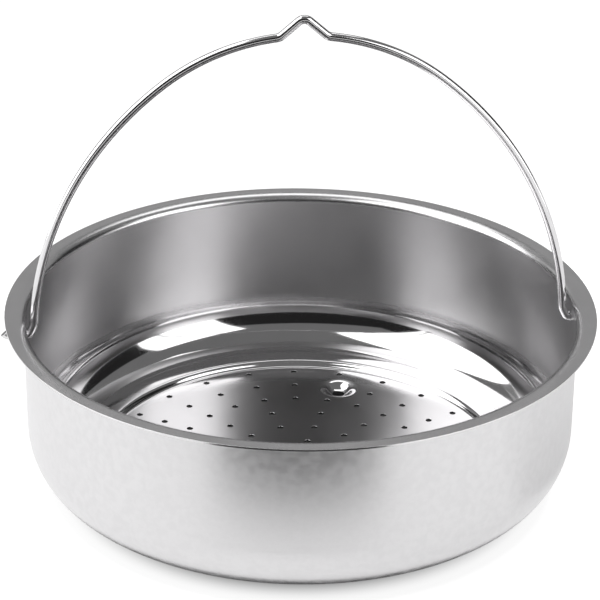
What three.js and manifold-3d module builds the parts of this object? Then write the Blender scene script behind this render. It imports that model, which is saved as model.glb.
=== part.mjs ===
// Steamer basket: a drawn steel bowl with a perforated floor, and a wire bail that swings in its wall.
// Millimetres, +Z up. The origin is the centre of the base, on the plane of the three feet.
// The bail's pivot axis runs along X.

import * as THREE from 'three';
import { mergeVertices } from 'three/addons/utils/BufferGeometryUtils.js';
import Module from 'manifold-3d';

// Sheet and wall
const SHEET = 0.8;
const WALL_DIAMETER = 206.4; // outside of the straight wall
const BODY_HEIGHT = 67; // underside of the floor to the top of the rim

// Rim
const FLANGE_WIDTH = 6.8; // outside of the wall to the edge of the rim
const RIM_BEND_REACH = 4.5; // upper face of the bend from wall to flange, across and up
const RIM_BEND_HEIGHT = 3;

// Rounded corner between wall and base, measured on the outside
const CORNER_REACH = 16;
const CORNER_HEIGHT = 20;

// Base: a flat ring, then a step down to the floor
const RING_WIDTH = 7.2;
const STEP_RUN = 4.1;
const STEP_RISE = 2.2;

// Holes in the floor, on rings and on radial lines
const HOLE_DIAMETER = 2.4;
const HOLE_RING_PITCH = 11.6;
const HOLE_EDGE_MARGIN = 3.8; // outermost ring of holes to the edge of the flat floor
const HOLE_LINES = 24;
const HOLE_MIN_SPACING = 11; // a ring too tight for this uses every second line
const HOLE_TURN_DEG = 11; // first radial line, from the pivot axis

// Feet pressed down out of the floor, on the second ring of holes
const FOOT_COUNT = 3;
const FOOT_DIAMETER = 17.2;
const FOOT_PAD_DIAMETER = 5;
const FOOT_DROP = 3;
const FOOT_TURN_DEG = 69;
const FOOT_HOLE_MARGIN = 1; // bare metal between a foot and the nearest hole

// Bail wire and its pivot
const WIRE_DIAMETER = 3.2;
const PIVOT_DROP = 8.75; // top of the rim to the pivot axis
const PIVOT_CLEARANCE = 0.35; // around the wire in its hole
const BAIL_RISE = 114.45; // pivot axis to the crown of the arch
const ARCH_RADIUS = 81.7;
const ARCH_TURN_DEG = 38; // from the crown to where the flatter legs begin
const KINK_RISE = 6.1; // peak of the kink above the crown
const KINK_SLOPE_DEG = 41;
const KINK_TOP_RADIUS = 3;
const KINK_SHOULDER_RADIUS = 4;
const KNEE_RADIUS = 6; // where each leg turns out towards the wall
const LEG_FOOT_SLOPE_DEG = 25; // of the short straight run below the knee, from upright
const LEG_FOOT_LENGTH = 2;
const LEG_BEND_RADIUS = 2;
const STUB_REACH = 5.2; // outside of the wall to the start of the tip
const TIP_BEND_RADIUS = 2.5;
const TIP_TURN_DEG = 55;

// Facets
const ROUND_SEGMENTS = 64;
const FOOT_SEGMENTS = 16;
const HOLE_SIDES = 8;
const PIVOT_HOLE_SIDES = 12;
const WIRE_SIDES = 12;
const WIDE_ARC_STEP_DEG = 6;
const TIGHT_ARC_STEP_DEG = 18;
const RING_STEP_STEPS = 2;
const CORNER_STEPS = 6;
const RIM_BEND_STEPS = 4;
const FOOT_STEPS = 3;
const CUT_OVERSHOOT = 1; // how far a cutter runs past the face that it cuts

const STEEL_COLOUR = 0xc8c8c6;
const SHELL_ROUGHNESS = 0.32;
const WIRE_ROUGHNESS = 0.22;

// Places worked out from the sizes above
const HALF_SHEET = SHEET / 2;
const WALL_MID_RADIUS = WALL_DIAMETER / 2 - HALF_SHEET;
const WALL_INNER_RADIUS = WALL_DIAMETER / 2 - SHEET;
const RIM_RADIUS = WALL_DIAMETER / 2 + FLANGE_WIDTH;
const RIM_TOP_Z = FOOT_DROP + BODY_HEIGHT;
const FLOOR_MID_Z = FOOT_DROP + HALF_SHEET;
const RING_OUTER_RADIUS = WALL_DIAMETER / 2 - CORNER_REACH;
const FLOOR_RADIUS = RING_OUTER_RADIUS - RING_WIDTH - STEP_RUN;
const HOLE_OUTER_RADIUS = FLOOR_RADIUS - HOLE_EDGE_MARGIN;
const FOOT_CIRCLE_RADIUS = HOLE_OUTER_RADIUS - HOLE_RING_PITCH;
const PIVOT_Z = RIM_TOP_Z - PIVOT_DROP;

const rad = THREE.MathUtils.degToRad;
const deg = THREE.MathUtils.radToDeg;

const wasm = await Module();
wasm.setup();

// Solids from geometry, and back again

function solidOf(geometry) {
  const bare = geometry.clone();
  bare.deleteAttribute('normal');
  bare.deleteAttribute('uv');
  const merged = mergeVertices(bare);
  const corners = merged.index.array;
  const triangles = [];
  for (let i = 0; i < corners.length; i += 3) {
    const [a, b, c] = corners.slice(i, i + 3);
    if (a !== b && b !== c && c !== a) triangles.push(a, b, c);
  }
  return new wasm.Manifold(new wasm.Mesh({
    numProp: 3,
    vertProperties: new Float32Array(merged.attributes.position.array),
    triVerts: new Uint32Array(triangles),
  }));
}

function geometryOf(solid) {
  const mesh = solid.getMesh();
  const geometry = new THREE.BufferGeometry();
  geometry.setAttribute('position', new THREE.BufferAttribute(mesh.vertProperties, 3));
  geometry.setIndex(new THREE.BufferAttribute(mesh.triVerts, 1));
  geometry.computeVertexNormals();
  return geometry;
}

const joined = (solids) => solids.reduce((sum, solid) => sum.add(solid));

// Turns a profile of [radius, height] pairs about Z; it runs out along the underside and back over the top
function turned(profile, segments) {
  const points = profile.map(([r, z]) => new THREE.Vector2(r, z));
  return new THREE.LatheGeometry(points, segments).rotateX(Math.PI / 2);
}

function upright(radius, height, sides) {
  return new THREE.CylinderGeometry(radius, radius, height, sides).rotateX(Math.PI / 2);
}

// Sheet profiles: stations along the middle of the sheet, each with the way its upper face looks

const flatStation = (r, z) => ({ r, z, nr: 0, nz: 1 });

// Points on an ellipse; side is 1 where the sheet's upper face looks away from its centre, else -1
function curvedStations(r, z, across, up, fromDeg, toDeg, side, steps) {
  const stations = [];
  for (let i = 0; i <= steps; i++) {
    const angle = rad(fromDeg + ((toDeg - fromDeg) * i) / steps);
    const normal = new THREE.Vector2(Math.cos(angle) / across, Math.sin(angle) / up).setLength(side);
    const point = { r: r + across * Math.cos(angle), z: z + up * Math.sin(angle) };
    stations.push({ ...point, nr: normal.x, nz: normal.y });
  }
  return stations;
}

// A smooth climb by two equal arcs, level at both ends
function climbStations(r, z, run, rise, steps) {
  const radius = (run * run + rise * rise) / (4 * rise);
  const turn = deg(2 * Math.atan(rise / run));
  return [
    ...curvedStations(r, z + radius, radius, radius, -90, turn - 90, -1, steps),
    ...curvedStations(r + run, z + rise - radius, radius, radius, 90 + turn, 90, 1, steps).slice(1),
  ];
}

const lowerFace = (stations) => stations.map((s) => [s.r - s.nr * HALF_SHEET, s.z - s.nz * HALF_SHEET]);
const upperFace = (stations) => stations.map((s) => [s.r + s.nr * HALF_SHEET, s.z + s.nz * HALF_SHEET]);

// Basket shell

function shellStations() {
  const ringZ = FLOOR_MID_Z + STEP_RISE;
  const flangeZ = RIM_TOP_Z - HALF_SHEET;
  const bendAcross = RIM_BEND_REACH - HALF_SHEET;
  const bendUp = RIM_BEND_HEIGHT - HALF_SHEET;
  const bendRadius = WALL_MID_RADIUS + bendAcross;
  const cornerAcross = CORNER_REACH - HALF_SHEET;
  const cornerUp = CORNER_HEIGHT - HALF_SHEET;
  return [
    flatStation(0, FLOOR_MID_Z),
    ...climbStations(FLOOR_RADIUS, FLOOR_MID_Z, STEP_RUN, STEP_RISE, RING_STEP_STEPS),
    ...curvedStations(RING_OUTER_RADIUS, ringZ + cornerUp, cornerAcross, cornerUp, -90, 0, -1, CORNER_STEPS),
    ...curvedStations(bendRadius, flangeZ - bendUp, bendAcross, bendUp, 180, 90, 1, RIM_BEND_STEPS),
    flatStation(RIM_RADIUS, flangeZ),
  ];
}

function sheetBowl() {
  const stations = shellStations();
  return solidOf(turned([...lowerFace(stations), ...upperFace(stations).reverse()], ROUND_SEGMENTS));
}

// Points evenly spread on a circle about Z
function onCircle(radius, count, turnDeg) {
  return Array.from({ length: count }, (_, i) => {
    const angle = rad(turnDeg) + (2 * Math.PI * i) / count;
    return new THREE.Vector2(Math.cos(angle), Math.sin(angle)).multiplyScalar(radius);
  });
}

const footCentres = onCircle(FOOT_CIRCLE_RADIUS, FOOT_COUNT, FOOT_TURN_DEG);

function footStations() {
  const pad = FOOT_PAD_DIAMETER / 2;
  const padZ = FLOOR_MID_Z - FOOT_DROP;
  return [flatStation(0, padZ), ...climbStations(pad, padZ, FOOT_DIAMETER / 2 - pad, FOOT_DROP, FOOT_STEPS)];
}

// The foot's outside, filled up to the middle of the floor's sheet
function footBoss() {
  const face = lowerFace(footStations());
  const [edgeRadius] = face.at(-1);
  return turned([...face, [edgeRadius, FLOOR_MID_Z], [0, FLOOR_MID_Z]], FOOT_SEGMENTS);
}

// The hollow inside the foot, open above the floor
function footHollow() {
  const face = upperFace(footStations());
  const [edgeRadius] = face.at(-1);
  const openZ = FLOOR_MID_Z + HALF_SHEET + CUT_OVERSHOOT;
  return turned([...face, [edgeRadius, openZ], [0, openZ]], FOOT_SEGMENTS);
}

const atFeet = (geometry) => joined(footCentres.map((c) => solidOf(geometry().translate(c.x, c.y, 0))));

function holeCentres() {
  const footClearance = FOOT_DIAMETER / 2 + FOOT_HOLE_MARGIN + HOLE_DIAMETER / 2;
  const centres = [new THREE.Vector2(0, 0)];
  for (let r = HOLE_OUTER_RADIUS; r > HOLE_RING_PITCH; r -= HOLE_RING_PITCH) {
    let count = HOLE_LINES;
    while ((2 * Math.PI * r) / count < HOLE_MIN_SPACING) count = Math.ceil(count / 2);
    centres.push(...onCircle(r, count, HOLE_TURN_DEG));
  }
  return centres.filter((c) => footCentres.every((foot) => foot.distanceTo(c) > footClearance));
}

function floorHoles() {
  const height = SHEET + 2 * CUT_OVERSHOOT;
  const cutter = () => upright(HOLE_DIAMETER / 2, height, HOLE_SIDES);
  return joined(holeCentres().map((c) => solidOf(cutter().translate(c.x, c.y, FLOOR_MID_Z))));
}

// One cutter through the wall at each end of the pivot axis; its flats keep the clearance
function pivotHoles() {
  const flatRadius = WIRE_DIAMETER / 2 + PIVOT_CLEARANCE;
  const radius = flatRadius / Math.cos(Math.PI / PIVOT_HOLE_SIDES);
  const length = SHEET + 2 * CUT_OVERSHOOT;
  const cutter = () => upright(radius, length, PIVOT_HOLE_SIDES).rotateY(Math.PI / 2);
  return joined([-1, 1].map((side) => solidOf(cutter().translate(side * WALL_MID_RADIUS, 0, PIVOT_Z))));
}

function basketShell() {
  const pressed = sheetBowl().add(atFeet(footBoss)).subtract(atFeet(footHollow));
  return geometryOf(pressed.subtract(floorHoles()).subtract(pivotHoles()));
}

// Bail handle, drawn in the X-Z plane with the pivot axis at its origin

// A path through given stations, each with its own tangent, stepped station by station
class StationPath extends THREE.Curve {
  constructor(stations) {
    super();
    this.stations = stations;
  }

  getUtoTmapping(u) {
    return u;
  }

  nearest(t) {
    return this.stations[Math.round(t * (this.stations.length - 1))];
  }

  getPoint(t, target = new THREE.Vector3()) {
    return target.copy(this.nearest(t).point);
  }

  getTangent(t, target = new THREE.Vector3()) {
    return target.copy(this.nearest(t).tangent);
  }
}

function arcStations(centre, radius, fromDeg, toDeg, stepDeg) {
  const steps = Math.max(1, Math.ceil(Math.abs(toDeg - fromDeg) / stepDeg));
  const sense = Math.sign(toDeg - fromDeg);
  return Array.from({ length: steps + 1 }, (_, i) => {
    const angle = rad(fromDeg + ((toDeg - fromDeg) * i) / steps);
    const out = new THREE.Vector3(Math.cos(angle), 0, Math.sin(angle));
    return {
      point: new THREE.Vector3(centre.x, 0, centre.y).addScaledVector(out, radius),
      tangent: new THREE.Vector3(-out.z, 0, out.x).multiplyScalar(sense),
    };
  });
}

const bearing = (from, to) => deg(Math.atan2(to.y - from.y, to.x - from.x));

// Right half of the wire, from the peak of the kink to the tip
function halfBail() {
  const archCentre = new THREE.Vector2(0, BAIL_RISE - ARCH_RADIUS);

  // The kink's flank is a line below its apex; the shoulder's arc touches both that line and the arch
  const slope = rad(KINK_SLOPE_DEG);
  const flankDown = new THREE.Vector2(Math.cos(slope), -Math.sin(slope));
  const flankOut = new THREE.Vector2(Math.sin(slope), Math.cos(slope));
  const peakCentre = new THREE.Vector2(0, BAIL_RISE + KINK_RISE - KINK_TOP_RADIUS);
  const flankGap = KINK_TOP_RADIUS + KINK_SHOULDER_RADIUS;
  const start = peakCentre.clone().addScaledVector(flankOut, flankGap).sub(archCentre);
  const along = start.dot(flankDown);
  const reach = ARCH_RADIUS + KINK_SHOULDER_RADIUS;
  const travel = -along - Math.sqrt(along * along - start.lengthSq() + reach * reach);
  const shoulderCentre = archCentre.clone().add(start).addScaledVector(flankDown, travel);

  // The foot is a short straight run from the knee's arc down to the bend into the pivot
  const footSlope = rad(LEG_FOOT_SLOPE_DEG);
  const footUp = new THREE.Vector2(-Math.sin(footSlope), Math.cos(footSlope));
  const footSide = new THREE.Vector2(Math.cos(footSlope), Math.sin(footSlope));
  const bendCentre = new THREE.Vector2(WALL_INNER_RADIUS, LEG_BEND_RADIUS);
  const kneeCentre = bendCentre.clone()
    .addScaledVector(footSide, KNEE_RADIUS - LEG_BEND_RADIUS)
    .addScaledVector(footUp, LEG_FOOT_LENGTH);

  // The leg's arc leaves the arch without a corner and touches the knee's arc
  const archOut = new THREE.Vector2(Math.sin(rad(ARCH_TURN_DEG)), Math.cos(rad(ARCH_TURN_DEG)));
  const archEnd = archCentre.clone().addScaledVector(archOut, ARCH_RADIUS);
  const toKnee = archEnd.clone().sub(kneeCentre);
  const legRadius = (toKnee.lengthSq() - KNEE_RADIUS ** 2) / (2 * (KNEE_RADIUS + toKnee.dot(archOut)));
  const legCentre = archEnd.clone().addScaledVector(archOut, -legRadius);
  const legEndDeg = bearing(legCentre, kneeCentre);
  const footDeg = 180 + LEG_FOOT_SLOPE_DEG;

  const tipCentre = new THREE.Vector2(WALL_DIAMETER / 2 + STUB_REACH, TIP_BEND_RADIUS);
  const shoulderEndDeg = bearing(archCentre, shoulderCentre);
  const legStartDeg = 90 - ARCH_TURN_DEG;
  const wide = WIDE_ARC_STEP_DEG;
  const tight = TIGHT_ARC_STEP_DEG;
  return [
    ...arcStations(peakCentre, KINK_TOP_RADIUS, 90, 90 - KINK_SLOPE_DEG, tight),
    ...arcStations(shoulderCentre, KINK_SHOULDER_RADIUS, 270 - KINK_SLOPE_DEG, shoulderEndDeg + 180, tight),
    ...arcStations(archCentre, ARCH_RADIUS, shoulderEndDeg, legStartDeg, wide).slice(1),
    ...arcStations(legCentre, legRadius, legStartDeg, legEndDeg, wide).slice(1),
    ...arcStations(kneeCentre, KNEE_RADIUS, legEndDeg + 180, footDeg, tight).slice(1),
    ...arcStations(bendCentre, LEG_BEND_RADIUS, footDeg, 270, tight),
    ...arcStations(tipCentre, TIP_BEND_RADIUS, 270, 270 + TIP_TURN_DEG, tight),
  ];
}

const mirrored = ({ point, tangent }) => ({
  point: new THREE.Vector3(-point.x, 0, point.z),
  tangent: new THREE.Vector3(tangent.x, 0, -tangent.z),
});

function bailHandle() {
  const right = halfBail();
  const left = right.slice(1).map(mirrored).reverse();
  const path = new StationPath([...left, ...right]);
  const section = new THREE.Shape(onCircle(WIRE_DIAMETER / 2, WIRE_SIDES, 0));
  return new THREE.ExtrudeGeometry(section, { extrudePath: path, steps: path.stations.length - 1 });
}

// Assembly

function steel(roughness) {
  return new THREE.MeshStandardMaterial({ color: STEEL_COLOUR, metalness: 1, roughness });
}

function named(name, geometry, material) {
  const mesh = new THREE.Mesh(geometry, material);
  mesh.name = name;
  return mesh;
}

const bail = new THREE.Group();
bail.position.z = PIVOT_Z;
bail.add(named('bail_handle', bailHandle(), steel(WIRE_ROUGHNESS)));

const basket = new THREE.Group();
basket.add(named('basket_shell', basketShell(), steel(SHELL_ROUGHNESS)));
basket.add(bail);

export default basket;
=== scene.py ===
"""Steamer basket: a drawn steel bowl with a perforated floor, and a wire bail that swings in its wall."""
import math

import bmesh
import bpy
from mathutils import Matrix, Vector


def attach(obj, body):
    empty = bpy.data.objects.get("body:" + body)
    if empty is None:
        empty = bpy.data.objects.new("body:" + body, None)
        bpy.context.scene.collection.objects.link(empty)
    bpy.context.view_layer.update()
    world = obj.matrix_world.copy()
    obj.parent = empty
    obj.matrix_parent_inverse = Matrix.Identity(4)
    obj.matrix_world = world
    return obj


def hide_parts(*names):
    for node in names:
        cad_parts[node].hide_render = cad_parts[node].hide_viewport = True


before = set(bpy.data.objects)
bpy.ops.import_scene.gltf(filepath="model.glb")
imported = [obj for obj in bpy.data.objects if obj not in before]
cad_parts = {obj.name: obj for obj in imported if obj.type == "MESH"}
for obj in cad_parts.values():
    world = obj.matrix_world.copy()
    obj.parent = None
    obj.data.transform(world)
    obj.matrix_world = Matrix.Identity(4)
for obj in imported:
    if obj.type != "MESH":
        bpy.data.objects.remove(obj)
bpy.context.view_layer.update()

MM = 0.001
AXIS_Y = Vector((0, 1, 0))
AXIS_Z = Vector((0, 0, 1))
QUARTER = math.pi / 2

# Sheet, wall and rim, in millimetres, as in the part
SHEET = 0.8
WALL_RADIUS = 103.2
RIM_RADIUS = 110.0
RIM_TOP = 70.0
RIM_BEND_REACH = 4.5
RIM_BEND_DROP = 3.0
FLOOR_TOP = 3.8
CORNER_REACH = 16.0
CORNER_HEIGHT = 20.0
RING_WIDTH = 7.2
STEP_RUN = 4.1
STEP_RISE = 2.2
WALL_INNER = WALL_RADIUS - SHEET
RING_OUTER = WALL_RADIUS - CORNER_REACH
RING_INNER = RING_OUTER - RING_WIDTH
FLOOR_RADIUS = RING_INNER - STEP_RUN
RING_TOP = FLOOR_TOP + STEP_RISE
CORNER_TOP = RING_TOP + CORNER_HEIGHT - SHEET
RIM_START = RIM_TOP - RIM_BEND_DROP
FLAT_GUARD = 0.25
EDGE_BREAK = 0.12

# Holes in the floor
HOLE_RADIUS = 1.2
HOLE_RING_PITCH = 11.6
HOLE_EDGE_MARGIN = 3.8
HOLE_LINES = 24
HOLE_MIN_SPACING = 11.0
HOLE_TURN = math.radians(11)
HOLE_OUTER = FLOOR_RADIUS - HOLE_EDGE_MARGIN

# Feet pressed down from the floor
FOOT_COUNT = 3
FOOT_RADIUS = 8.6
FOOT_PAD_RADIUS = 1.0
FOOT_DROP = 3.0
FOOT_TURN = math.radians(69)
FOOT_CIRCLE = HOLE_OUTER - HOLE_RING_PITCH
FOOT_HOLE_MARGIN = 1.0

# Bail
WIRE_RADIUS = 1.6
PIVOT_Z = 61.25
PIVOT_CLEARANCE = 0.35
PIVOT_PATCH = 3.0
BAIL_RISE = 114.45
ARCH_RADIUS = 81.7
ARCH_TURN = math.radians(38)
KINK_RISE = 6.1
KINK_SLOPE = math.radians(41)
KINK_TOP_RADIUS = 3.0
KINK_SHOULDER_RADIUS = 4.0
KNEE_RADIUS = 6.0
LEG_SLOPE = math.radians(25)
LEG_FOOT = 2.0
LEG_BEND = 2.0
STUB_REACH = 5.2
TIP_BEND = 2.5
TIP_TURN = math.radians(55)
WIRE_END_BREAK = 0.2

# Facets; bend steps are in degrees
ROUND_STEPS = 144
CORNER_STEPS = 20
STEP_STEPS = 8
RIM_STEPS = 10
FOOT_STEPS = 48
HOLE_STEPS = 16
PIVOT_STEPS = 24
WIRE_STEPS = 24
EDGE_STEPS = 2
TIGHT_BEND_STEP = 6.0
WIDE_BEND_STEP = 1.5
SHARP_ANGLE = math.radians(50)

# Slack for picking faces, and merging distances in metres
PICK_SLACK = 1.2
SEAM_GAP = 1e-7
MIRROR_GAP = 1e-6

# Material slots of the basket; the sheet's other face takes the slots after these
INSIDE_SLOT = 0
RIM_SLOT = 1
OTHER_FACE = 2


# Helpers for meshes and objects

def edges_in(geom):
    return [g for g in geom if isinstance(g, bmesh.types.BMEdge)]


def verts_in(geom):
    return [g for g in geom if isinstance(g, bmesh.types.BMVert)]


def edges_on(verts):
    """The edges on these vertices, each once."""
    return list(dict.fromkeys(e for v in verts for e in v.link_edges))


def finished_mesh(name, bm):
    mesh = bpy.data.meshes.new(name)
    bm.to_mesh(mesh)
    bm.free()
    return mesh


def link(name, data):
    obj = bpy.data.objects.new(name, data)
    bpy.context.scene.collection.objects.link(obj)
    return obj


def freeze(obj):
    """Turns the object's modifiers into plain mesh."""
    graph = bpy.context.evaluated_depsgraph_get()
    done = bpy.data.meshes.new_from_object(obj.evaluated_get(graph))
    obj.modifiers.clear()
    old = obj.data
    obj.data = done
    bpy.data.meshes.remove(old)


# Profile drawing: a chain of edges in the X-Z plane

def start_chain(bm, r, z):
    return bmesh.ops.create_vert(bm, co=(r * MM, 0, z * MM))["vert"][0]


def line_to(bm, tail, r, z):
    tip = bmesh.ops.extrude_vert_indiv(bm, verts=[tail])["verts"][0]
    tip.co = (r * MM, 0, z * MM)
    return tip


def arc_to(bm, tail, r, z, turn, steps):
    """Turns the chain's end about the point r, z; a positive turn goes from +Z towards +X."""
    centre = (r * MM, 0, z * MM)
    made = bmesh.ops.spin(bm, geom=[tail], cent=centre, axis=AXIS_Y, angle=turn, steps=steps)
    return verts_in(made["geom_last"])[0]


def ellipse_to(bm, tail, r, z, across, up, turn, steps):
    """As arc_to, on an ellipse with the given half sizes."""
    centre = Vector((r * MM, 0, z * MM))
    squeeze = across / up
    home = tail.co.copy()
    tail.co = centre + Vector(((home.x - centre.x) / squeeze, 0, home.z - centre.z))
    before = set(bm.verts)
    tip = arc_to(bm, tail, r, z, turn, steps)
    fresh = [v for v in bm.verts if v not in before]
    bmesh.ops.scale(bm, vec=(squeeze, 1, 1), space=Matrix.Translation(-centre), verts=fresh)
    tail.co = home
    return tip


def swell_to(bm, tail, run, rise, offset, steps):
    """A smooth step by two arcs, level at both ends; offset is this face's height over the arcs' own line."""
    radius = (run * run + rise * rise) / (4 * abs(rise))
    turn = 2 * math.atan(rise / run)
    side = math.copysign(1, rise)
    r = tail.co.x / MM
    z = tail.co.z / MM
    tail = arc_to(bm, tail, r, z + side * radius - offset, -turn, steps)
    return arc_to(bm, tail, r + run, z + rise - side * radius - offset, turn, steps)


def turn_round(bm, steps):
    """Turns all that is drawn about Z, full circle."""
    geom = bm.verts[:] + bm.edges[:]
    full = 2 * math.pi
    bmesh.ops.spin(bm, geom=geom, cent=(0, 0, 0), axis=AXIS_Z, angle=full, steps=steps, use_merge=True)
    bmesh.ops.remove_doubles(bm, verts=bm.verts[:], dist=SEAM_GAP)


# Basket

def on_circle(radius, count, turn):
    step = 2 * math.pi / count
    angles = [turn + i * step for i in range(count)]
    return [Vector((radius * math.cos(a), radius * math.sin(a), 0)) for a in angles]


FOOT_CENTRES = on_circle(FOOT_CIRCLE, FOOT_COUNT, FOOT_TURN)


def hole_centres():
    """Rings of holes from the floor's edge inwards, on fewer lines where they crowd, none in a foot."""
    clearance = FOOT_RADIUS + FOOT_HOLE_MARGIN + HOLE_RADIUS
    centres = [Vector((0, 0, 0))]
    r = HOLE_OUTER
    while r > HOLE_RING_PITCH:
        count = HOLE_LINES
        while 2 * math.pi * r / count < HOLE_MIN_SPACING:
            count = math.ceil(count / 2)
        centres += on_circle(r, count, HOLE_TURN)
        r -= HOLE_RING_PITCH
    return [c for c in centres if all((c - f).length > clearance for f in FOOT_CENTRES)]


def wall_and_rim(bm):
    """The sheet's upper face from the floor's edge to the edge of the rim."""
    tail = start_chain(bm, FLOOR_RADIUS - FLAT_GUARD, FLOOR_TOP)
    tail = line_to(bm, tail, FLOOR_RADIUS, FLOOR_TOP)
    tail = swell_to(bm, tail, STEP_RUN, STEP_RISE, SHEET / 2, STEP_STEPS)
    tail = line_to(bm, tail, RING_OUTER - FLAT_GUARD, RING_TOP)
    tail = line_to(bm, tail, RING_OUTER, RING_TOP)
    across = CORNER_REACH - SHEET
    up = CORNER_HEIGHT - SHEET
    tail = ellipse_to(bm, tail, RING_OUTER, CORNER_TOP, across, up, -QUARTER, CORNER_STEPS)
    tail = line_to(bm, tail, WALL_INNER, CORNER_TOP + FLAT_GUARD)
    tail = line_to(bm, tail, WALL_INNER, PIVOT_Z - PIVOT_PATCH)
    tail = line_to(bm, tail, WALL_INNER, PIVOT_Z + PIVOT_PATCH)
    tail = line_to(bm, tail, WALL_INNER, RIM_START - FLAT_GUARD)
    tail = line_to(bm, tail, WALL_INNER, RIM_START)
    bend_r = WALL_INNER + RIM_BEND_REACH
    tail = ellipse_to(bm, tail, bend_r, RIM_START, RIM_BEND_REACH, RIM_BEND_DROP, QUARTER, RIM_STEPS)
    tail = line_to(bm, tail, bend_r + FLAT_GUARD, RIM_TOP)
    line_to(bm, tail, RIM_RADIUS, RIM_TOP)
    turn_round(bm, ROUND_STEPS)
    half_step = Matrix.Rotation(math.pi / ROUND_STEPS, 3, "Z")
    bmesh.ops.rotate(bm, cent=(0, 0, 0), matrix=half_step, verts=bm.verts[:])


def foot_dish(bm):
    """One foot about the origin, its flat guard included, at the floor's height."""
    low = FLOOR_TOP - FOOT_DROP
    tail = start_chain(bm, 0, low)
    tail = line_to(bm, tail, FOOT_PAD_RADIUS, low)
    tail = swell_to(bm, tail, FOOT_RADIUS - FOOT_PAD_RADIUS, FOOT_DROP, 0, STEP_STEPS)
    line_to(bm, tail, FOOT_RADIUS + FLAT_GUARD, FLOOR_TOP)
    turn_round(bm, FOOT_STEPS)


def add_copy(target, source, shift):
    """Adds a copy of source to target, moved by shift millimetres."""
    mesh = bpy.data.meshes.new("copy")
    source.to_mesh(mesh)
    mesh.transform(Matrix.Translation(shift * MM))
    target.from_mesh(mesh)
    bpy.data.meshes.remove(mesh)


def pivot_face(bm, side):
    """The one face of the wall that holds a pivot hole."""
    half_width = PICK_SLACK * math.pi * WALL_INNER / ROUND_STEPS * MM
    half_height = PICK_SLACK * PIVOT_PATCH * MM

    def inside(v):
        near = abs(v.co.y) < half_width and abs(v.co.z - PIVOT_Z * MM) < half_height
        return near and v.co.x * side > 0

    return next(f for f in bm.faces if all(inside(v) for v in f.verts))


def pivot_hole(bm, side):
    """Opens the wall where the wire goes through, at the left or the right."""
    face = pivot_face(bm, side)
    outline = list(face.edges)
    bmesh.ops.delete(bm, geom=[face], context="FACES")
    place = Matrix.Translation((side * WALL_INNER * MM, 0, PIVOT_Z * MM)) @ Matrix.Rotation(QUARTER, 4, "Y")
    radius = (WIRE_RADIUS + PIVOT_CLEARANCE) * MM
    made = bmesh.ops.create_circle(bm, cap_ends=False, radius=radius, segments=PIVOT_STEPS, matrix=place)
    hole = made["verts"]
    for v in hole:
        v.co.x = side * math.sqrt((WALL_INNER * MM) ** 2 - v.co.y ** 2)
    bmesh.ops.triangle_fill(bm, use_beauty=True, edges=outline + edges_on(hole), normal=(side, 0, 0))


def floor_with_holes(bm):
    """Adds the feet and the holes, and fills the floor between them and the wall's foot."""
    dish = bmesh.new()
    foot_dish(dish)
    for centre in FOOT_CENTRES:
        add_copy(bm, dish, centre)
    dish.free()
    radius = HOLE_RADIUS * MM
    for centre in hole_centres():
        place = Matrix.Translation(centre * MM + AXIS_Z * FLOOR_TOP * MM)
        bmesh.ops.create_circle(bm, cap_ends=False, radius=radius, segments=HOLE_STEPS, matrix=place)
    loose = [e for e in bm.edges if e.is_boundary or e.is_wire]
    reach = (FLOOR_RADIUS + FLAT_GUARD) * MM
    edges = [e for e in loose if max(v.co.xy.length for v in e.verts) < reach]
    bmesh.ops.triangle_fill(bm, use_beauty=True, edges=edges, normal=AXIS_Z)


def shell_mesh():
    """The sheet's upper face, with all its openings."""
    bm = bmesh.new()
    wall_and_rim(bm)
    for side in (1, -1):
        pivot_hole(bm, side)
    floor_with_holes(bm)
    bmesh.ops.recalc_face_normals(bm, faces=bm.faces[:])
    middle = min(bm.faces, key=lambda f: f.calc_center_median().xy.length)
    if middle.normal.z < 0:
        bmesh.ops.reverse_faces(bm, faces=bm.faces[:])
    for f in bm.faces:
        f.material_index = RIM_SLOT if f.calc_center_median().z > RIM_START * MM else INSIDE_SLOT
        f.smooth = True
    return finished_mesh("basket", bm)


def basket_shell(materials):
    obj = link("basket", shell_mesh())
    for material in materials:
        obj.data.materials.append(material)
    sheet = obj.modifiers.new("sheet", "SOLIDIFY")
    sheet.thickness = SHEET * MM
    sheet.offset = -1
    sheet.use_even_offset = True
    sheet.material_offset = OTHER_FACE
    sheet.material_offset_rim = 0
    edges = obj.modifiers.new("broken_edges", "BEVEL")
    edges.width = EDGE_BREAK * MM
    edges.segments = EDGE_STEPS
    edges.limit_method = "ANGLE"
    edges.angle_limit = SHARP_ANGLE
    edges.harden_normals = True
    freeze(obj)
    return obj


# Bail; points are across and up, in millimetres, from the pivot

def tilt(a, b):
    """The lean of the line from a to b, from upright."""
    return math.atan2(b.x - a.x, b.y - a.y)


def bend_wire(bm, geom, centre, turn, step):
    """Bends the wire's end about a point."""
    steps = max(2, math.ceil(abs(math.degrees(turn)) / step))
    cent = (centre.x * MM, 0, centre.y * MM)
    return bmesh.ops.spin(bm, geom=geom, cent=cent, axis=AXIS_Y, angle=turn, steps=steps)["geom_last"]


def run_wire(bm, geom, shift):
    """Draws the wire's end out straight."""
    made = bmesh.ops.extrude_edge_only(bm, edges=edges_in(geom))["geom"]
    verts = verts_in(made)
    bmesh.ops.translate(bm, vec=(shift.x * MM, 0, shift.y * MM), verts=verts)
    return verts + edges_in(made)


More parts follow.
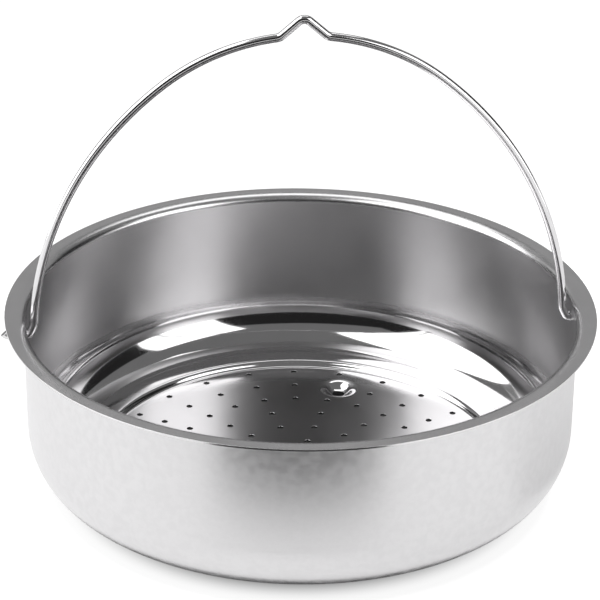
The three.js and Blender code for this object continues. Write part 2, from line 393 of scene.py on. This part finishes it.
def half_bail(bm):
    """The right half of the wire, from the top of the kink to the upturned tip."""
    down = Vector((math.cos(KINK_SLOPE), -math.sin(KINK_SLOPE)))
    out = Vector((math.sin(KINK_SLOPE), math.cos(KINK_SLOPE)))
    arch = Vector((0, BAIL_RISE - ARCH_RADIUS))
    peak = Vector((0, BAIL_RISE + KINK_RISE - KINK_TOP_RADIUS))
    start = peak + out * (KINK_TOP_RADIUS + KINK_SHOULDER_RADIUS) - arch
    along = start.dot(down)
    reach = ARCH_RADIUS + KINK_SHOULDER_RADIUS
    travel = -along - math.sqrt(along * along - start.length_squared + reach * reach)
    shoulder = arch + start + down * travel
    arch_out = Vector((math.sin(ARCH_TURN), math.cos(ARCH_TURN)))
    arch_end = arch + arch_out * ARCH_RADIUS
    foot_down = Vector((math.sin(LEG_SLOPE), -math.cos(LEG_SLOPE)))
    foot_side = Vector((math.cos(LEG_SLOPE), math.sin(LEG_SLOPE)))
    bend = Vector((WALL_INNER, LEG_BEND))
    knee = bend + foot_side * (KNEE_RADIUS - LEG_BEND) - foot_down * LEG_FOOT
    to_knee = arch_end - knee
    leg_radius = (to_knee.length_squared - KNEE_RADIUS ** 2) / (2 * (KNEE_RADIUS + to_knee.dot(arch_out)))
    leg = arch_end - arch_out * leg_radius
    shoulder_tilt = tilt(arch, shoulder)
    leg_tilt = tilt(leg, knee)
    tip = Vector((WALL_RADIUS + STUB_REACH, TIP_BEND))

    top = Matrix.Translation((0, 0, (BAIL_RISE + KINK_RISE) * MM)) @ Matrix.Rotation(QUARTER, 4, "Y")
    radius = WIRE_RADIUS * MM
    made = bmesh.ops.create_circle(bm, cap_ends=False, radius=radius, segments=WIRE_STEPS, matrix=top)
    geom = made["verts"] + edges_on(made["verts"])
    geom = bend_wire(bm, geom, peak, KINK_SLOPE, TIGHT_BEND_STEP)
    geom = run_wire(bm, geom, down * travel)
    geom = bend_wire(bm, geom, shoulder, shoulder_tilt - KINK_SLOPE, TIGHT_BEND_STEP)
    geom = bend_wire(bm, geom, arch, ARCH_TURN - shoulder_tilt, WIDE_BEND_STEP)
    geom = bend_wire(bm, geom, leg, leg_tilt - ARCH_TURN, WIDE_BEND_STEP)
    geom = bend_wire(bm, geom, knee, QUARTER - LEG_SLOPE - leg_tilt, TIGHT_BEND_STEP)
    geom = run_wire(bm, geom, foot_down * LEG_FOOT)
    geom = bend_wire(bm, geom, bend, LEG_SLOPE - QUARTER, TIGHT_BEND_STEP)
    geom = run_wire(bm, geom, Vector((tip.x - bend.x, 0)))
    geom = bend_wire(bm, geom, tip, -TIP_TURN, TIGHT_BEND_STEP)
    cap = bmesh.ops.contextual_create(bm, geom=edges_in(geom))["faces"]
    bmesh.ops.bevel(bm, geom=[e for f in cap for e in f.edges], offset=WIRE_END_BREAK * MM,
                    segments=EDGE_STEPS, profile=0.5, affect="EDGES", material=-1)


def bail_mesh():
    bm = bmesh.new()
    half_bail(bm)
    geom = bm.verts[:] + bm.edges[:] + bm.faces[:]
    bmesh.ops.mirror(bm, geom=geom, axis="X", merge_dist=MIRROR_GAP)
    bmesh.ops.translate(bm, vec=(0, 0, PIVOT_Z * MM), verts=bm.verts[:])
    bmesh.ops.recalc_face_normals(bm, faces=bm.faces[:])
    for f in bm.faces:
        f.smooth = True
    mesh = finished_mesh("bail", bm)
    mesh.set_sharp_from_angle(angle=SHARP_ANGLE)
    return mesh


# Finishes: roughness unless the name says otherwise, lengths in millimetres

STEEL_DARK = (0.65, 0.644, 0.651, 1)
STEEL_LIGHT = (0.687, 0.681, 0.688, 1)

# Stretches of a noise's range that are spread out
WIDE = (0.25, 0.75)
NARROW = (0.3, 0.7)

# Lines turned round the axis
LINES_PER_MM = 3.0
PATCHES_PER_TURN = 9.0
ACROSS_THE_LINES = 0.25
SCRATCH_DETAIL = 3.0

# Inside: polished below, satin above
POLISHED = 0.075
POLISHED_LINES = 0.003
POLISHED_BUMP = 0.006
SATIN_IN = 0.298
SATIN_IN_LINES = 0.004
SATIN_IN_CLOUDS = 0.015
SATIN_IN_BUMP = 0.02
SATIN_EDGE = (19.0, 25.5)
SCUFF_SCALE = (0.05, 1.1, 0.4)
SCUFF_SPAN = (0.6, 0.78)
SCUFF_DEPTH = 0.04
SCUFF_EDGE = (RING_TOP, 9.0)

# Rim
SATIN_RIM = 0.231
SATIN_RIM_LINES = 0.009
SATIN_RIM_CLOUDS = 0.03
RUBBED = 0.08
RUBBED_EDGE = (RIM_RADIUS - 0.9, RIM_RADIUS - 0.2)

# Outside
SATIN_OUT = 0.35
SATIN_OUT_LINES = 0.02
SATIN_OUT_CLOUDS = 0.03

# Wire
DRAWN = 0.135
DRAWN_LINES = 0.035
DRAWN_SCALE = (0.1, 3.0, 0.1)


class Finish:
    """One steel finish and its nodes; a value is a socket or a number."""

    def __init__(self, name):
        self.material = bpy.data.materials.new(name)
        self.material.use_nodes = True
        self.tree = self.material.node_tree
        self.shader = self.tree.nodes["Principled BSDF"]
        self.shader.inputs["Metallic"].default_value = 1
        self.place = self.add("ShaderNodeTexCoord").outputs["Object"]
        self.place = self.vector("SCALE", self.place, scale=1 / MM)

    def add(self, kind):
        return self.tree.nodes.new(kind)

    def put(self, socket, value):
        if isinstance(value, bpy.types.NodeSocket):
            self.tree.links.new(value, socket)
        else:
            socket.default_value = value

    def vector(self, operation, a, b=None, scale=None):
        step = self.add("ShaderNodeVectorMath")
        step.operation = operation
        self.put(step.inputs[0], a)
        if b is not None:
            self.put(step.inputs[1], b)
        if scale is not None:
            self.put(step.inputs["Scale"], scale)
        return step.outputs["Value" if operation == "LENGTH" else "Vector"]

    def maths(self, operation, a, b):
        step = self.add("ShaderNodeMath")
        step.operation = operation
        self.put(step.inputs[0], a)
        self.put(step.inputs[1], b)
        return step.outputs[0]

    def spread(self, value, span, to_low=0.0, to_high=1.0):
        """Eases the value's span into another range."""
        step = self.add("ShaderNodeMapRange")
        step.interpolation_type = "SMOOTHSTEP"
        self.put(step.inputs["Value"], value)
        self.put(step.inputs["From Min"], span[0])
        self.put(step.inputs["From Max"], span[1])
        self.put(step.inputs["To Min"], to_low)
        self.put(step.inputs["To Max"], to_high)
        return step.outputs["Result"]

    def swing(self, value, span, middle, reach):
        """As spread, to both sides of a middle."""
        return self.spread(value, span, middle - reach, middle + reach)

    def between(self, low, high, share):
        """Eases from low to high as the share goes from 0 to 1."""
        return self.spread(share, (0.0, 1.0), low, high)

    def noise(self, place, detail=2.0, w=None):
        step = self.add("ShaderNodeTexNoise")
        step.noise_dimensions = "3D" if w is None else "4D"
        self.put(step.inputs["Vector"], place)
        step.inputs["Scale"].default_value = 1
        step.inputs["Detail"].default_value = detail
        if w is not None:
            self.put(step.inputs["W"], w)
        return step.outputs["Fac"]

    def scratches(self, scale):
        """Noise drawn out along the axes where the scale is small."""
        return self.noise(self.vector("MULTIPLY", self.place, scale), detail=SCRATCH_DETAIL)

    def turned_grain(self, stretch):
        """Fine lines round the axis, with gloss stretched across them; keeps the radius and height."""
        flat = self.vector("MULTIPLY", self.place, (1, 1, 0))
        self.radius = self.vector("LENGTH", flat)
        split = self.add("ShaderNodeSeparateXYZ")
        self.put(split.inputs["Vector"], self.place)
        self.height = split.outputs["Z"]
        around = self.vector("SCALE", self.vector("NORMALIZE", flat), scale=PATCHES_PER_TURN)
        upright = self.vector("MULTIPLY", self.place, (0, 0, 1))
        up = self.vector("SCALE", upright, scale=LINES_PER_MM)
        across = self.maths("MULTIPLY", self.radius, LINES_PER_MM)
        self.put(self.shader.inputs["Tangent"], self.vector("CROSS_PRODUCT", (0, 0, 1), flat))
        self.shader.inputs["Anisotropic"].default_value = stretch
        self.shader.inputs["Anisotropic Rotation"].default_value = ACROSS_THE_LINES
        return self.noise(self.vector("ADD", around, up), w=across)

    def cloudy_colour(self, size):
        """Steel that is a little lighter and darker in clouds of this size."""
        clouds = self.noise(self.vector("SCALE", self.place, scale=1 / size))
        mix = self.add("ShaderNodeMix")
        mix.data_type = "RGBA"
        self.put(mix.inputs["Factor"], self.spread(clouds, NARROW))
        mix.inputs["A"].default_value = STEEL_DARK
        mix.inputs["B"].default_value = STEEL_LIGHT
        self.put(self.shader.inputs["Base Color"], mix.outputs["Result"])
        return clouds

    def bump(self, height, depth, strength):
        step = self.add("ShaderNodeBump")
        self.put(step.inputs["Height"], height)
        step.inputs["Distance"].default_value = depth * MM
        self.put(step.inputs["Strength"], strength)
        self.put(self.shader.inputs["Normal"], step.outputs["Normal"])

    def roughness(self, value):
        self.put(self.shader.inputs["Roughness"], value)


def inside_finish():
    """Mirror-polished floor and corner, scuffed floor, satin wall with fine lines round the bowl."""
    steel = Finish("steel_inside")
    grain = steel.turned_grain(stretch=0.1)
    clouds = steel.cloudy_colour(size=22.0)
    satin = steel.spread(steel.height, SATIN_EDGE)
    scuff_depth = steel.spread(steel.height, SCUFF_EDGE, SCUFF_DEPTH, 0.0)
    scuffs = steel.spread(steel.scratches(SCUFF_SCALE), SCUFF_SPAN, 0.0, scuff_depth)
    polished = steel.maths("ADD", steel.swing(grain, NARROW, POLISHED, POLISHED_LINES), scuffs)
    lines = steel.swing(grain, WIDE, SATIN_IN, SATIN_IN_LINES)
    brushed = steel.maths("ADD", lines, steel.swing(clouds, NARROW, 0.0, SATIN_IN_CLOUDS))
    steel.roughness(steel.between(polished, brushed, satin))
    steel.bump(grain, depth=0.005, strength=steel.between(POLISHED_BUMP, SATIN_IN_BUMP, satin))
    return steel.material


def rim_finish():
    """Satin flange, brighter where its edge is rubbed."""
    steel = Finish("steel_rim")
    grain = steel.turned_grain(stretch=0.2)
    clouds = steel.cloudy_colour(size=16.0)
    lines = steel.swing(grain, WIDE, SATIN_RIM, SATIN_RIM_LINES)
    brushed = steel.maths("ADD", lines, steel.spread(clouds, NARROW, 0.0, SATIN_RIM_CLOUDS))
    rubbed = steel.spread(steel.radius, RUBBED_EDGE, 0.0, RUBBED)
    steel.roughness(steel.maths("SUBTRACT", brushed, rubbed))
    steel.bump(grain, depth=0.006, strength=0.06)
    return steel.material


def outside_finish():
    """Satin outside with fine lines round the bowl and faint clouds."""
    steel = Finish("steel_outside")
    grain = steel.turned_grain(stretch=0.2)
    clouds = steel.cloudy_colour(size=3.0)
    lines = steel.swing(grain, WIDE, SATIN_OUT, SATIN_OUT_LINES)
    steel.roughness(steel.maths("ADD", lines, steel.swing(clouds, NARROW, 0.0, SATIN_OUT_CLOUDS)))
    steel.bump(grain, depth=0.004, strength=0.12)
    return steel.material


def wire_finish():
    """Drawn wire with fine lines along it."""
    steel = Finish("steel_wire")
    lines = steel.scratches(DRAWN_SCALE)
    steel.cloudy_colour(size=9.0)
    steel.roughness(steel.swing(lines, WIDE, DRAWN, DRAWN_LINES))
    steel.bump(lines, depth=0.004, strength=0.1)
    return steel.material


# The two pieces

outside = outside_finish()
basket = basket_shell([inside_finish(), rim_finish(), outside, outside])
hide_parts("basket_shell")
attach(basket, "basket")

bail = link("bail", bail_mesh())
bail.data.materials.append(wire_finish())
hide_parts("bail_handle")
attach(bail, "bail")


# Stage, in metres; the floor glows evenly, with a painted shade under the basket where its glow is low

FLOOR_REACH = 60.0
FLOOR_TONE = 0.3
FLOOR_GLOW = 0.87
# Painted shade under the basket: the floor's low glow there, and the radii where it eases back to full
PAINTED_SHADE_GLOW = 0.04
PAINTED_SHADE_EDGE = 0.076
OPEN_EDGE = 0.094
DISC_STEPS = 96
CARD_LIFT = 0.001
MATT = 0.9
WHITE = (1, 1, 1, 1)
WORLD_GLOW = 0.02
STUDIO_CENTRE = Vector((0, 0, 0.04))
CAMERA_TURN = math.radians(-6)


def disc(radius):
    bm = bmesh.new()
    bmesh.ops.create_circle(bm, cap_ends=True, radius=radius, segments=DISC_STEPS)
    return bm


def stage_piece(name, bm, tone):
    """Makes a matt piece of the stage; returns its object, node tree and shader."""
    obj = link(name, finished_mesh(name, bm))
    matt = bpy.data.materials.new(name)
    matt.use_nodes = True
    obj.data.materials.append(matt)
    shader = matt.node_tree.nodes["Principled BSDF"]
    shader.inputs["Base Color"].default_value = (tone, tone, tone, 1)
    shader.inputs["Roughness"].default_value = MATT
    shader.inputs["Emission Color"].default_value = WHITE
    return obj, matt.node_tree, shader


def pale_floor():
    _, tree, shader = stage_piece("floor", disc(FLOOR_REACH), FLOOR_TONE)
    shader.inputs["Specular IOR Level"].default_value = 0.0
    place = tree.nodes.new("ShaderNodeTexCoord")
    reach = tree.nodes.new("ShaderNodeVectorMath")
    reach.operation = "LENGTH"
    tree.links.new(place.outputs["Object"], reach.inputs[0])
    # The glow eases down under the basket, a painted shade where the basket stands on the floor
    glow = tree.nodes.new("ShaderNodeMapRange")
    glow.interpolation_type = "SMOOTHSTEP"
    glow.inputs["From Min"].default_value = PAINTED_SHADE_EDGE
    glow.inputs["From Max"].default_value = OPEN_EDGE
    glow.inputs["To Min"].default_value = PAINTED_SHADE_GLOW
    glow.inputs["To Max"].default_value = FLOOR_GLOW
    tree.links.new(reach.outputs["Value"], glow.inputs["Value"])
    tree.links.new(glow.outputs["Result"], shader.inputs["Emission Strength"])


def reflection_card(name, bm, tone, glow=0.0):
    """Lays a card on the floor that only reflections see, turned with the camera."""
    turn = Matrix.Rotation(CAMERA_TURN, 3, "Z")
    bmesh.ops.rotate(bm, cent=(0, 0, 0), matrix=turn, verts=bm.verts[:])
    bmesh.ops.translate(bm, vec=(0, 0, CARD_LIFT), verts=bm.verts[:])
    obj, _, shader = stage_piece(name, bm, tone)
    obj.visible_camera = False
    obj.visible_shadow = False
    shader.inputs["Emission Strength"].default_value = glow


def tapered(front, back, front_sides, back_sides):
    """A flat sheet between two lines across the view, each with its left and right end."""
    bm = bmesh.new()
    bmesh.ops.create_grid(bm, x_segments=1, y_segments=1, size=1)
    for v in bm.verts:
        left, right = back_sides if v.co.y > 0 else front_sides
        v.co = (right if v.co.x > 0 else left, back if v.co.y > 0 else front, 0)
    return bm


def towards(azimuth, elevation):
    """Unit vector from the basket; azimuth 0 is the camera's side, positive to its right."""
    a = math.radians(azimuth) + CAMERA_TURN
    e = math.radians(elevation)
    return Vector((math.sin(a) * math.cos(e), -math.cos(a) * math.cos(e), math.sin(e)))


def softbox(name, azimuth, elevation, distance, width, height, radiance):
    """A one-sided light panel that faces the basket."""
    light = bpy.data.lights.new(name, "AREA")
    light.shape = "RECTANGLE"
    light.size = width
    light.size_y = height
    light.energy = radiance * width * height * math.pi
    obj = link(name, light)
    back = towards(azimuth, elevation)
    turn = (-back).to_track_quat("-Z", "Y").to_matrix().to_4x4()
    obj.matrix_world = Matrix.Translation(STUDIO_CENTRE + back * distance) @ turn


def studio_world():
    world = bpy.data.worlds.new("studio")
    world.use_nodes = True
    sky = world.node_tree.nodes["Background"]
    sky.inputs["Color"].default_value = WHITE
    sky.inputs["Strength"].default_value = WORLD_GLOW
    bpy.context.scene.world = world


pale_floor()
softbox("left_box", azimuth=-85, elevation=38, distance=1.0, width=1.05, height=1.55, radiance=2.45)
softbox("left_back_box", azimuth=-132, elevation=26, distance=1.2, width=0.65, height=0.4, radiance=0.25)
softbox("right_box", azimuth=60, elevation=29, distance=1.0, width=0.71, height=0.9, radiance=2.2)
softbox("right_low_box", azimuth=82, elevation=9, distance=1.0, width=0.35, height=0.32, radiance=1.5)
softbox("ceiling", azimuth=0, elevation=90, distance=1.6, width=3.6, height=3.6, radiance=0.17)
softbox("backdrop", azimuth=180, elevation=24, distance=1.6, width=3.0, height=0.9, radiance=0.35)
softbox("back_top", azimuth=-176, elevation=63, distance=1.4, width=1.1, height=0.5, radiance=1.7)
studio_world()

# Cards that shade the front of the wall, its right edge and the edge of the base
front_shape = tapered(front=-0.75, back=-0.181, front_sides=(-0.26, 0.26), back_sides=(-0.09, 0.09))
side_shape = tapered(front=-0.06, back=0.2, front_sides=(0.112, 0.3), back_sides=(0.112, 0.3))
reflection_card("front_card", front_shape, tone=0.02)
reflection_card("side_card", side_shape, tone=0.75, glow=0.4)
reflection_card("under_card", disc(0.097), tone=0.1)


# Camera, fitted to the photograph

LENS = 141.44
SENSOR = 36.0
NEAR_CLIP = 0.01
EYE = Vector((-82.66, -786.48, 456.03)) * MM
AIM = Vector((-0.38, 0.04, 71.8)) * MM
ROLL = math.radians(0.682)


def photo_camera():
    lens = bpy.data.cameras.new("camera")
    lens.lens = LENS
    lens.sensor_width = SENSOR
    lens.clip_start = NEAR_CLIP
    camera = link("camera", lens)
    look = (AIM - EYE).to_track_quat("-Z", "Y").to_matrix().to_4x4()
    camera.matrix_world = Matrix.Translation(EYE) @ look @ Matrix.Rotation(ROLL, 4, "Z")
    bpy.context.scene.camera = camera


photo_camera()
bpy.context.scene.view_settings.view_transform = "Standard"
